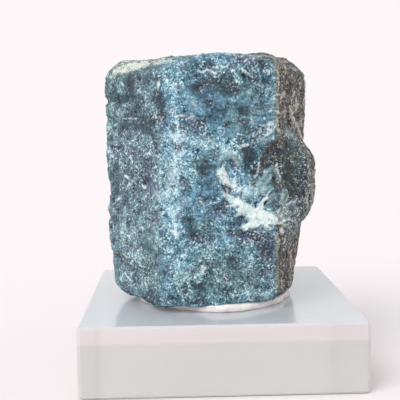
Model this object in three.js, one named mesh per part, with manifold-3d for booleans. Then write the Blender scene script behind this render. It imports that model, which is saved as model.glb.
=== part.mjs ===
// A rough sapphire, one barrel-shaped crystal with six sides, stood upright for display.
// It is bedded on a pad of mounting putty, which is stuck to a block of clear cast acrylic.
// Millimetres, +Z up. The origin is the middle of the block's underside, with the crystal's
// broad front side facing -Y.
import * as THREE from "three";
import { mergeVertices } from "three/addons/utils/BufferGeometryUtils.js";
import Module from "manifold-3d";

const wasm = await Module();
wasm.setup();

// The display block is the stock size, 2 inches square and half an inch thick.
const block = { side: 50.8, height: 12.7, arris: 0.4 };

// The putty is a squashed lump. Its outline runs through one point every 30 degrees, each a
// distance from the crystal's axis, starting at the front and going round by the right.
const putty = {
  thickness: 1.3,
  edgeRound: 0.4,
  roundSteps: 3,
  outlineSteps: 72,
  reach: [18.1, 17.1, 15.6, 15.9, 15.2, 14.6, 15.1, 14.4, 15.0, 14.6, 15.9, 16.3],
};

// The crystal's axis, how far its front side is turned to the right, and its height. The
// radius is that of the six corners, so that a side stands 0.866 of it from the axis.
const crystal = { x: -1.5, y: 0.75, turn: 7.2, height: 45.2, radius: 20.2 };
const foot = block.height + putty.thickness;
const side = crystal.radius * Math.cos(Math.PI / 6);

// Each natural face, worn edge or break is one plane. The azimuth goes from the front round by
// the right, the tilt is upwards, and the plane passes through the point that is a reach from
// the axis and a height above the foot.
const faces = [
  // The prism, whose sides lean a little, as grown.
  { azimuth: 0, tilt: 0.3, reach: side, height: 22 },
  { azimuth: 60, tilt: -0.6, reach: side, height: 22 },
  { azimuth: 120, tilt: 1.2, reach: side - 0.2, height: 26 },
  { azimuth: 180, tilt: 0.8, reach: side - 0.7, height: 24 },
  { azimuth: 240, tilt: -0.5, reach: side + 0.1, height: 22 },
  { azimuth: 300, tilt: 0.2, reach: side + 0.2, height: 22 },
  // The end, which has parted along a flat plane across the axis.
  { azimuth: 250, tilt: 88.8, reach: 0, height: crystal.height },
  // Worn corners. The first is the broad pale one at the left of the front.
  { azimuth: 329, tilt: 0.2, reach: side + 1.75, height: 22 },
  { azimuth: 30, tilt: -0.8, reach: side + 2.4, height: 22 },
  { azimuth: 88, tilt: 0.2, reach: side + 2.55, height: 30 },
  { azimuth: 149, tilt: -0.4, reach: side + 1.4, height: 20 },
  { azimuth: 212, tilt: 0.9, reach: side + 1.3, height: 24 },
  { azimuth: 271, tilt: 0.1, reach: side + 2.6, height: 28 },
  { azimuth: 268, tilt: -2.4, reach: side + 2.3, height: 18 },
  // The barrel's taper towards the foot.
  { azimuth: 85, tilt: -11, reach: side + 2.3, height: 16 },
  { azimuth: 68, tilt: -7, reach: side + 0.3, height: 9 },
  { azimuth: 122, tilt: -10, reach: side - 0.2, height: 11 },
  { azimuth: 183, tilt: -8, reach: side - 0.7, height: 10 },
  { azimuth: 238, tilt: -11, reach: side + 0.1, height: 10 },
  { azimuth: 275, tilt: -10, reach: side + 2.2, height: 9.5 },
  // The taper towards the top.
  { azimuth: 118, tilt: 6, reach: side - 0.1, height: 37 },
  { azimuth: 192, tilt: 7, reach: side - 0.7, height: 33 },
  // Chipped and rounded edges of the top, with the pale break above the left side first.
  { azimuth: 298, tilt: 47, reach: side - 0.1, height: 42.4 },
  { azimuth: 275, tilt: 32, reach: side + 2.2, height: 41.2 },
  { azimuth: 338, tilt: 62, reach: side - 1.6, height: 44.8 },
  { azimuth: 62, tilt: 42, reach: side - 0.5, height: 42.6 },
  { azimuth: 92, tilt: 38, reach: side + 1.6, height: 41.4 },
  { azimuth: 46, tilt: 66, reach: side - 0.8, height: 44.3 },
  { azimuth: 6, tilt: 52, reach: side, height: 44.9 },
  { azimuth: 150, tilt: 44, reach: side + 0.2, height: 39 },
  { azimuth: 205, tilt: 57, reach: side - 2.2, height: 42.8 },
  { azimuth: 246, tilt: 36, reach: side - 0.3, height: 41.6 },
  // Rounded edges of the foot.
  { azimuth: 5, tilt: -50, reach: side, height: 0.5 },
  { azimuth: 58, tilt: -45, reach: side - 0.7, height: 0.6 },
  { azimuth: 90, tilt: -42, reach: side + 0.2, height: 0.9 },
  { azimuth: 118, tilt: -47, reach: side - 2.0, height: 0.9 },
  { azimuth: 186, tilt: -44, reach: side - 2.3, height: 0.8 },
  { azimuth: 241, tilt: -46, reach: side - 1.9, height: 0.9 },
  { azimuth: 274, tilt: -40, reach: side + 0.4, height: 1.9 },
  { azimuth: 303, tilt: -48, reach: side + 0.1, height: 0.7 },
  { azimuth: 331, tilt: -47, reach: side + 1.7, height: 0.6 },
];

// A second crystal has grown out of the right side. It is an ellipsoid cut down by planes of
// its own, with a sloping top and an abrupt end below. Ellipsoids are measured in the
// crystal's own frame, from the middle of its foot: the middle, the three half widths, and
// the turns about X, Y and Z in degrees.
const knob = { middle: [13.2, -9.6, 24.2], half: [8.2, 9.6, 15.5], turns: [0, 4, 30] };
const knobFaces = [
  { azimuth: 27, tilt: 4, reach: side + 2.55, height: 22 },
  { azimuth: 58, tilt: -1.5, reach: side + 3.9, height: 21 },
  { azimuth: 84, tilt: 5, reach: side + 3.1, height: 21 },
  { azimuth: 52, tilt: 30, reach: side + 3.2, height: 28 },
  { azimuth: 76, tilt: 36, reach: side + 2.6, height: 27.5 },
  { azimuth: 14, tilt: 30, reach: side - 0.6, height: 33 },
  { azimuth: 66, tilt: -36, reach: side + 3.2, height: 16.5 },
  { azimuth: 48, tilt: -72, reach: side + 2, height: 13.6 },
];

// The hollow between the knob and the front side is two scoops that run into each other.
const hollows = [
  { middle: [8.3, -19.2, 27.0], half: [2.7, 3.9, 7.4], turns: [0, -30, 12] },
  { middle: [6.1, -18.6, 24.6], half: [2.6, 2.8, 4.4], turns: [0, -12, 0] },
];
const roundDetail = 6;

// A slice has parted from the top edge at the back.
const backStep = { middle: [-4, 19.5, 39.6], size: [26, 6.2, 14], turns: [3, -5, 10] };

const degrees = THREE.MathUtils.degToRad;

// A closed geometry as a solid that can be joined and cut.
function solidOf(geometry) {
  const bare = geometry.index ? geometry.toNonIndexed() : geometry.clone();
  bare.deleteAttribute("normal");
  bare.deleteAttribute("uv");
  const merged = mergeVertices(bare, 1e-4);
  const mesh = new wasm.Mesh({
    numProp: 3,
    vertProperties: merged.attributes.position.array,
    triVerts: new Uint32Array(merged.index.array),
  });
  return new wasm.Manifold(mesh);
}

// The solid's surface as a geometry again, with flat faces.
function geometryOf(solid) {
  const mesh = solid.getMesh();
  const geometry = new THREE.BufferGeometry();
  geometry.setAttribute("position", new THREE.BufferAttribute(mesh.vertProperties, 3));
  geometry.setIndex(new THREE.BufferAttribute(mesh.triVerts, 1));
  const flat = geometry.toNonIndexed();
  flat.computeVertexNormals();
  return flat;
}

function turnsOf([x, y, z]) {
  return new THREE.Matrix4().makeRotationFromEuler(
    new THREE.Euler(degrees(x), degrees(y), degrees(z)),
  );
}

// A slab far wider than the crystal, standing just outside one plane, to cut it with.
function beyond({ azimuth, tilt, reach, height }) {
  const reachOfSlab = 150;
  const a = degrees(azimuth);
  const t = degrees(tilt);
  const outwards = new THREE.Vector3(
    Math.sin(a) * Math.cos(t),
    -Math.cos(a) * Math.cos(t),
    Math.sin(t),
  );
  const slab = new THREE.BoxGeometry(reachOfSlab, reachOfSlab, reachOfSlab);
  slab.translate(0, 0, reachOfSlab / 2);
  slab.applyQuaternion(
    new THREE.Quaternion().setFromUnitVectors(new THREE.Vector3(0, 0, 1), outwards),
  );
  slab.translate(Math.sin(a) * reach, -Math.cos(a) * reach, height);
  return solidOf(slab);
}

function ellipsoid({ middle, half, turns }) {
  const ball = new THREE.IcosahedronGeometry(1, roundDetail);
  ball.scale(...half);
  ball.applyMatrix4(turnsOf(turns));
  ball.translate(...middle);
  return solidOf(ball);
}

function wedge({ middle, size, turns }) {
  const cut = new THREE.BoxGeometry(...size);
  cut.applyMatrix4(turnsOf(turns));
  cut.translate(...middle);
  return solidOf(cut);
}

function cutTo(solid, planes) {
  return planes.reduce((rest, plane) => rest.subtract(beyond(plane)), solid);
}

function crystalGeometry() {
  const blankRadius = crystal.radius * 1.3;
  const blankHeight = crystal.height + 2;
  const blank = new THREE.CylinderGeometry(blankRadius, blankRadius, blankHeight, 24);
  blank.rotateX(Math.PI / 2);
  blank.translate(0, 0, blankHeight / 2);
  const body = cutTo(solidOf(blank), faces);
  const hollowed = hollows.reduce((solid, hollow) => solid.subtract(ellipsoid(hollow)), body);
  const grownOn = cutTo(ellipsoid(knob), knobFaces);
  return geometryOf(hollowed.add(grownOn).subtract(wedge(backStep)));
}

function puttyGeometry() {
  const { reach, thickness, edgeRound, roundSteps, outlineSteps } = putty;
  const points = reach.map((r, i) => {
    const a = (i / reach.length) * 2 * Math.PI;
    return new THREE.Vector2(Math.sin(a) * (r - edgeRound), -Math.cos(a) * (r - edgeRound));
  });
  const ring = points.map((p) => new THREE.Vector3(p.x, p.y, 0));
  const loop = new THREE.CatmullRomCurve3(ring, true, "centripetal");
  const outline = loop.getPoints(outlineSteps).slice(0, -1);
  const pad = new THREE.ExtrudeGeometry(new THREE.Shape(outline), {
    depth: thickness - 2 * edgeRound,
    bevelEnabled: true,
    bevelThickness: edgeRound,
    bevelSize: edgeRound,
    bevelSegments: roundSteps,
  });
  pad.translate(0, 0, edgeRound);
  return pad;
}

function blockGeometry() {
  const { side: width, height, arris } = block;
  const flat = width / 2 - arris;
  const inner = flat - arris;
  const outline = [
    [-inner, -flat],
    [inner, -flat],
    [flat, -inner],
    [flat, inner],
    [inner, flat],
    [-inner, flat],
    [-flat, inner],
    [-flat, -inner],
  ].map(([x, y]) => new THREE.Vector2(x, y));
  const body = new THREE.ExtrudeGeometry(new THREE.Shape(outline), {
    depth: height - 2 * arris,
    bevelEnabled: true,
    bevelThickness: arris,
    bevelSize: arris,
    bevelSegments: 1,
  });
  body.translate(0, 0, arris);
  return body;
}

function piece(name, geometry, look) {
  const mesh = new THREE.Mesh(geometry, new THREE.MeshStandardMaterial(look));
  mesh.name = name;
  return mesh;
}

const displayBlock = piece("display_block", blockGeometry(), {
  color: "#eef2f4",
  roughness: 0.05,
  metalness: 0,
  transparent: true,
  opacity: 0.4,
});

const mountingPutty = piece("mounting_putty", puttyGeometry(), {
  color: "#e9e1d8",
  roughness: 0.55,
  metalness: 0,
});
mountingPutty.position.set(crystal.x, crystal.y, block.height);
mountingPutty.rotation.z = degrees(crystal.turn);

const sapphire = piece("sapphire_crystal", crystalGeometry(), {
  color: "#6f8c99",
  roughness: 0.5,
  metalness: 0,
  flatShading: true,
});
sapphire.position.set(crystal.x, crystal.y, foot);
sapphire.rotation.z = degrees(crystal.turn);

const specimen = new THREE.Group();
specimen.add(displayBlock, mountingPutty, sapphire);

export default specimen;
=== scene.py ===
# A rough sapphire, bedded in putty on a clear acrylic display block.
# The crystal and the putty are modelled here, and the block keeps its CAD shape.
import math

import bmesh
import bpy
import numpy as np
from mathutils import Matrix, Vector, noise
from mathutils.bvhtree import BVHTree


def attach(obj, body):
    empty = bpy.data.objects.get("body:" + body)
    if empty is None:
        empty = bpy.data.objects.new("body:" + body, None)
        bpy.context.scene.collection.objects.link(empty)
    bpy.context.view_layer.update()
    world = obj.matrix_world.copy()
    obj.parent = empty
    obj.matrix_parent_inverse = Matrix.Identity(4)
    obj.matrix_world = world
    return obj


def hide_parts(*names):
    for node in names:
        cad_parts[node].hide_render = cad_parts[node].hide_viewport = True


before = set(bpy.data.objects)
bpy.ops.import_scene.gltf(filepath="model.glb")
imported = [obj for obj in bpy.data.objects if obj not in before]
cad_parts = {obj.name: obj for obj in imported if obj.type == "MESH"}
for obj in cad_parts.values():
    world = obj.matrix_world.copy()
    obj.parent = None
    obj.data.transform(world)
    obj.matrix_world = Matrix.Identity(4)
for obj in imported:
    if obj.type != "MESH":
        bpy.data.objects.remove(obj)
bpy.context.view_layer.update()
print("frame loaded")

mm = 0.001
perMm = 1000  # a noise scale of perMm / 2 gives features about 2 mm across


def srgb(code, alpha=1.0):
    channels = [int(code[i:i + 2], 16) / 255 for i in (1, 3, 5)]
    linear = [c / 12.92 if c <= 0.04045 else ((c + 0.055) / 1.055) ** 2.4 for c in channels]
    return (*linear, alpha)


def addNode(tree, kind, settings=None, links=None):
    node = tree.nodes.new(kind)
    for name, value in (settings or {}).items():
        if name == "stops":
            # stops of a colour ramp, each a place and a colour
            elements = node.color_ramp.elements
            elements[0].position, elements[0].color = value[0]
            elements[1].position, elements[1].color = value[-1]
            for place, colour in value[1:-1]:
                elements.new(place).color = colour
        elif isinstance(name, str) and hasattr(node, name):
            setattr(node, name, value)
        else:
            node.inputs[name].default_value = value
    for name, source in (links or {}).items():
        tree.links.new(source, node.inputs[name])
    return node


def newMaterial(name):
    material = bpy.data.materials.new(name)
    material.use_nodes = True
    material.node_tree.nodes.clear()
    return material, material.node_tree


def meshPiece(name, bm, material, smooth=True):
    mesh = bpy.data.meshes.new(name)
    bm.to_mesh(mesh)
    bm.free()
    for face in mesh.polygons:
        face.use_smooth = smooth
    mesh.materials.append(material)
    piece = bpy.data.objects.new(name, mesh)
    bpy.context.scene.collection.objects.link(piece)
    return piece


def smoothstep(low, high, x):
    t = np.clip((x - low) / (high - low), 0, 1)
    return t * t * (3 - 2 * t)


# the studio: a pale floor, an even pale surround and soft lights
studio = {
    "floorRadius": 3.0,
    "floorDrop": 0.0001,  # keeps the floor just clear of the block's underside
    "surroundColour": "#fdf7f9",
    "surroundLight": 0.76,  # how strongly the surround lights things, while it is seen and mirrored at full
    "sunStrength": 1.48,
    "sunSoftness": 40,
    "sunFrom": (-0.55, -0.6, 0.85),
}

scene = bpy.context.scene
scene.view_settings.view_transform = "Standard"

world = bpy.data.worlds.new("paleSurround")
scene.world = world
world.use_nodes = True
tree = world.node_tree
tree.nodes.clear()
path = addNode(tree, "ShaderNodeLightPath")
mirrored = addNode(tree, "ShaderNodeMath", {"operation": "MAXIMUM"}, {
    0: path.outputs["Is Glossy Ray"], 1: path.outputs["Is Transmission Ray"],
})
plain = addNode(tree, "ShaderNodeMath", {"operation": "MAXIMUM"}, {
    0: path.outputs["Is Camera Ray"], 1: mirrored.outputs["Value"],
})
glow = addNode(tree, "ShaderNodeMapRange", {"To Min": studio["surroundLight"], "To Max": 1.0}, {
    "Value": plain.outputs["Value"],
})
tint = addNode(tree, "ShaderNodeMix", {"data_type": "RGBA", 6: (1, 1, 1, 1), 7: srgb(studio["surroundColour"])}, {
    0: path.outputs["Is Camera Ray"],
})
surround = addNode(tree, "ShaderNodeBackground", None, {"Color": tint.outputs[2], "Strength": glow.outputs["Result"]})
addNode(tree, "ShaderNodeOutputWorld", None, {"Surface": surround.outputs["Background"]})

# matt painted board: even and pale, with the faintest mottle
floorPaint, tree = newMaterial("paleMattBoard")
place = addNode(tree, "ShaderNodeTexCoord")
mottle = addNode(tree, "ShaderNodeTexNoise", {"Scale": 14.0, "Detail": 3.0}, {"Vector": place.outputs["Object"]})
tint = addNode(tree, "ShaderNodeValToRGB", {
    "stops": [(0.3, srgb("#f2ecee")), (0.7, srgb("#f3edef"))],
}, {"Fac": mottle.outputs["Fac"]})
board = addNode(tree, "ShaderNodeBsdfPrincipled", {"Roughness": 0.9, "IOR": 1.45, "Specular IOR Level": 0.0}, {
    "Base Color": tint.outputs["Color"],
})
addNode(tree, "ShaderNodeOutputMaterial", None, {"Surface": board.outputs["BSDF"]})

bm = bmesh.new()
bmesh.ops.create_circle(bm, cap_ends=True, segments=96, radius=studio["floorRadius"])
bmesh.ops.translate(bm, verts=bm.verts, vec=(0, 0, -studio["floorDrop"]))
floor = meshPiece("studioFloor", bm, floorPaint, smooth=False)

sun = bpy.data.lights.new("softSun", "SUN")
sun.energy = studio["sunStrength"]
sun.angle = math.radians(studio["sunSoftness"])
sunHolder = bpy.data.objects.new("softSun", sun)
sunHolder.rotation_euler = Vector(studio["sunFrom"]).to_track_quat("Z", "Y").to_euler()
scene.collection.objects.link(sunHolder)

# the camera stands a little left of the block's middle and looks slightly down
view = {
    "spot": (-0.00808, -0.15493, 0.04835),
    "pan": -1.81,
    "pitch": 6.18,
    "roll": -0.68,
    "lens": 69.87,
    "sensor": 36,
    "pictureWidth": 400,
}
cameraData = bpy.data.cameras.new("camera")
cameraData.lens = view["lens"]
cameraData.sensor_width = view["sensor"]
cameraData.clip_start = 0.01
cameraData.clip_end = 20
camera = bpy.data.objects.new("camera", cameraData)
cameraPlace = (
    Matrix.Translation(view["spot"])
    @ Matrix.Rotation(math.radians(view["pan"]), 4, "Z")
    @ Matrix.Rotation(math.radians(90 - view["pitch"]), 4, "X")
    @ Matrix.Rotation(math.radians(view["roll"]), 4, "Z")
)
camera.matrix_world = cameraPlace
scene.collection.objects.link(camera)
scene.camera = camera
print("studio and camera ready")


# the crystal, in millimetres in its own frame: the axis at the origin, the foot at zero,
# the broad front side facing -Y. Each face is an azimuth from the front round by the right,
# an upward tilt, a reach from the axis and a height.
side = 17.49
crystal = {
    "axis": (-1.5, 0.75),
    "turn": 7.2,
    "foot": 14.0,
    "height": 45.2,
    "blankRadius": 26.0,
    "faces": [
        (0, 0.3, side, 22), (60, -0.6, side, 22), (120, 1.2, side - 0.2, 26),
        (180, 0.8, side - 0.7, 24), (240, -0.5, side + 0.1, 22), (300, 0.2, side + 0.2, 22),
        (250, 88.8, 0, 45.2),
        (329, 0.2, side + 1.75, 22), (30, -0.8, side + 2.4, 22), (88, 0.2, side + 2.55, 30),
        (149, -0.4, side + 1.4, 20), (212, 0.9, side + 1.3, 24), (271, 0.1, side + 2.6, 28),
        (268, -2.4, side + 2.3, 18),
        (85, -11, side + 2.3, 16), (68, -7, side + 0.3, 9), (122, -10, side - 0.2, 11),
        (183, -8, side - 0.7, 10), (238, -11, side + 0.1, 10), (275, -10, side + 2.2, 9.5),
        (118, 6, side - 0.1, 37), (192, 7, side - 0.7, 33),
        (298, 47, side - 0.1, 42.4), (275, 32, side + 2.2, 41.2), (338, 62, side - 1.6, 44.8),
        (62, 42, side - 0.5, 42.6), (92, 38, side + 1.6, 41.4), (46, 66, side - 0.8, 44.3),
        (6, 52, side, 44.9), (150, 44, side + 0.2, 39), (205, 57, side - 2.2, 42.8),
        (246, 36, side - 0.3, 41.6),
        (5, -50, side, 0.5), (58, -45, side - 0.7, 0.6), (90, -42, side + 0.2, 0.9),
        (118, -47, side - 2.0, 0.9), (186, -44, side - 2.3, 0.8), (241, -46, side - 1.9, 0.9),
        (274, -40, side + 0.4, 1.9), (303, -48, side + 0.1, 0.7), (331, -47, side + 1.7, 0.6),
    ],
    # the smaller crystal grown on the right side
    "knob": {"middle": (13.2, -9.6, 24.2), "half": (8.2, 9.6, 15.5), "turns": (0, 4, 30)},
    "knobFaces": [
        (27, 4, side + 2.55, 22), (58, -1.5, side + 3.9, 21), (84, 5, side + 3.1, 21),
        (52, 30, side + 3.2, 28), (76, 36, side + 2.6, 27.5), (14, 30, side - 0.6, 33),
        (66, -36, side + 3.2, 16.5), (48, -72, side + 2, 13.6),
    ],
    # the hollow between the knob and the front
    "scoops": [
        {"middle": (8.3, -19.2, 27.0), "half": (2.7, 3.9, 7.4), "turns": (0, -30, 12)},
        {"middle": (6.1, -18.6, 24.6), "half": (2.6, 2.8, 4.4), "turns": (0, -12, 0)},
    ],
    "voxel": 0.46,
    "wear": 3,
    # places where the worn outline stands further out or in, each a middle, a reach and a move
    "pulls": [
        ((-18.5, -1.0, 43.0), 5.5, (-0.7, 0.0, 0.6)),
        ((-13.0, -9.5, 45.1), 4.5, (0.2, 0.2, -0.4)),
        ((18.0, -5.0, 42.5), 6.0, (0.7, 0.0, 0.7)),
        ((9.5, -12.0, 45.5), 6.0, (0.1, 0.0, 0.45)),
        ((-13.5, -14.0, 0.8), 6.5, (-0.3, -0.1, -0.9)),
        ((-17.5, -4.0, 2.0), 6.5, (-1.2, -0.2, -0.35)),
        ((-5.0, -17.5, 0.6), 5.0, (0.0, 0.0, -0.3)),
        ((18.6, -8.0, 13.8), 3.2, (0.7, 0.1, -0.1)),
        ((20.0, -8.5, 17.6), 2.8, (-0.5, 0.0, 0.0)),
        ((-19.5, 0.5, 11.0), 8.0, (-0.45, 0.0, 0.0)),
        ((-20.3, 0.0, 25.5), 7.0, (-0.35, 0.0, 0.0)),
    ],
}


def outward(azimuth, tilt=0.0):
    a, t = math.radians(azimuth), math.radians(tilt)
    return Vector((math.sin(a) * math.cos(t), -math.cos(a) * math.cos(t), math.sin(t)))


def cutFaces(bm, faces):
    for azimuth, tilt, reach, height in faces:
        spot = outward(azimuth) * reach + Vector((0, 0, height))
        cut = bmesh.ops.bisect_plane(
            bm, geom=bm.verts[:] + bm.edges[:] + bm.faces[:], dist=1e-5,
            plane_co=spot, plane_no=outward(azimuth, tilt), clear_outer=True,
        )
        rim = [item for item in cut["geom_cut"] if isinstance(item, bmesh.types.BMEdge)]
        if rim:
            bmesh.ops.holes_fill(bm, edges=rim, sides=0)


def ellipsoidMatrix(shape):
    x, y, z = (math.radians(angle) for angle in shape["turns"])
    turned = Matrix.Rotation(x, 4, "X") @ Matrix.Rotation(y, 4, "Y") @ Matrix.Rotation(z, 4, "Z")
    return Matrix.Translation(shape["middle"]) @ turned @ Matrix.Diagonal((*shape["half"], 1))


def ellipsoid(shape):
    bm = bmesh.new()
    bmesh.ops.create_icosphere(bm, subdivisions=5, radius=1.0)
    bmesh.ops.transform(bm, matrix=ellipsoidMatrix(shape), verts=bm.verts)
    return bm


def helperPiece(name, bm):
    bmesh.ops.recalc_face_normals(bm, faces=bm.faces)
    mesh = bpy.data.meshes.new(name)
    bm.to_mesh(mesh)
    bm.free()
    piece = bpy.data.objects.new(name, mesh)
    scene.collection.objects.link(piece)
    return piece


def crystalBlank():
    bm = bmesh.new()
    bmesh.ops.create_cone(
        bm, cap_ends=True, segments=24, radius1=crystal["blankRadius"],
        radius2=crystal["blankRadius"], depth=crystal["height"] + 2,
    )
    bmesh.ops.translate(bm, verts=bm.verts, vec=(0, 0, crystal["height"] / 2 + 1))
    cutFaces(bm, crystal["faces"])
    blank = helperPiece("crystalBlank", bm)
    knob = ellipsoid(crystal["knob"])
    cutFaces(knob, crystal["knobFaces"])
    tools = [(helperPiece("knobBlank", knob), "UNION")]
    tools += [(helperPiece("scoop", ellipsoid(scoop)), "DIFFERENCE") for scoop in crystal["scoops"]]
    for tool, operation in tools:
        join = blank.modifiers.new(tool.name, "BOOLEAN")
        join.object = tool
        join.operation = operation
        join.solver = "EXACT"
    remesh = blank.modifiers.new("evenMesh", "REMESH")
    remesh.mode = "VOXEL"
    remesh.voxel_size = crystal["voxel"]
    wear = blank.modifiers.new("wornEdges", "SMOOTH")
    wear.iterations = crystal["wear"]
    wear.factor = 0.5
    shaped = bpy.data.meshes.new_from_object(blank.evaluated_get(bpy.context.evaluated_depsgraph_get()))
    bm = bmesh.new()
    bm.from_mesh(shaped)
    for piece in [blank] + [tool for tool, _ in tools]:
        bpy.data.objects.remove(piece)
    return bm


stone = crystalBlank()
stand = (
    Matrix.Diagonal((mm, mm, mm, 1))
    @ Matrix.Translation((*crystal["axis"], crystal["foot"]))
    @ Matrix.Rotation(math.radians(crystal["turn"]), 4, "Z")
)
eye = (stand.inverted() @ cameraPlace).translation

for middle, reach, move in crystal["pulls"]:
    for vert in stone.verts:
        away = (vert.co - Vector(middle)).length / reach
        if away < 1:
            vert.co += Vector(move) * (1 - away * away) ** 2

# the sides that the photo shows get a mesh twice as fine
stone.normal_update()
shown = [face for face in stone.faces if face.normal.dot((eye - face.calc_center_median()).normalized()) > 0.08]
edges = {edge for face in shown for edge in face.edges}
bmesh.ops.subdivide_edges(stone, edges=list(edges), cuts=1, use_grid_fill=True)
stone.normal_update()
print("crystal blank", len(stone.verts), "points", len(stone.faces), "faces")

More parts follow.
